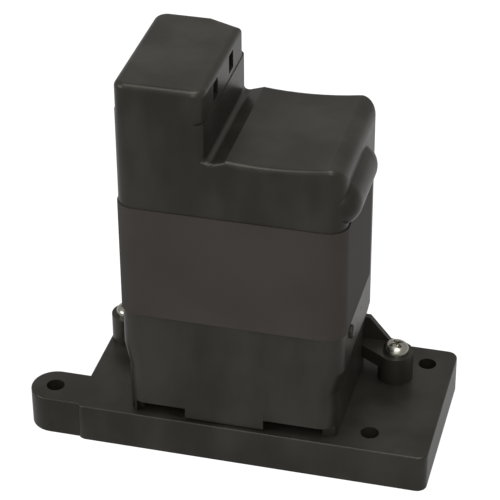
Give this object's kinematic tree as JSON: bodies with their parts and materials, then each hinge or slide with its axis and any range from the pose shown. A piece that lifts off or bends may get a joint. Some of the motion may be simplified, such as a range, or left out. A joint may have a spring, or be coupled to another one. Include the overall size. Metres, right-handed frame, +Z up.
{
  "type": "bilge pump float switch",
  "caption": "Black float switch for a bilge pump: vented float chamber beside a sealed electronics bay, on a drilled base plate.",
  "frame": {"origin": "middle of the base plate's underside, at the centre of the overall box", "axes": "+Z up, front towards -Y, +X towards the side with the electronics bay"},
  "size_m": [0.1014, 0.045, 0.1011],
  "materials": {
    "black_plastic": "satin black moulded plastic",
    "label_film": "satin dark grey printed film",
    "stainless": "polished stainless steel",
    "rubber": "matt black rubber",
    "float_plastic": "matt off-white moulded plastic",
    "magnet": "dark sintered magnet",
    "resin": "glossy black poured resin",
    "board": "green solder mask",
    "component": "matt black moulded component",
    "relay_case": "blue moulded relay case",
    "can": "sleeved aluminium can",
    "block_plastic": "green moulded terminal block",
    "suppressor": "blue coated ceramic disc"
  },
  "bodies": {
    "switch": {"base_plate": "black_plastic", "housing": "black_plastic", "label_band": "label_film", "housing_screws": "stainless", "fill_plug": "black_plastic", "cable_gland": "rubber", "guide_rod": "stainless", "rod_clip": "stainless", "bay_cover": "black_plastic", "bay_sealant": "resin", "circuit_board": "board", "board_screws": "stainless", "level_sensors": "component", "relay": "relay_case", "terminal_block": "block_plastic", "terminal_screws": "stainless", "capacitor": "can", "controller_chip": "component", "surge_suppressor": "suppressor"},
    "float": {"float_shell": "float_plastic", "float_cap": "float_plastic", "float_magnet": "magnet"},
    "vent_lid": {"vent_cover": "black_plastic"}
  },
  "joints": [
    {"name": "float_rise", "type": "slide", "parent": "switch", "child": "float", "axis": [0, 0, 1], "range_m": [0, 0.028]},
    {"name": "vent_lid_lift", "type": "slide", "parent": "switch", "child": "vent_lid", "axis": [0, 0, 1], "range_m": [0, 0.02]}
  ]
}
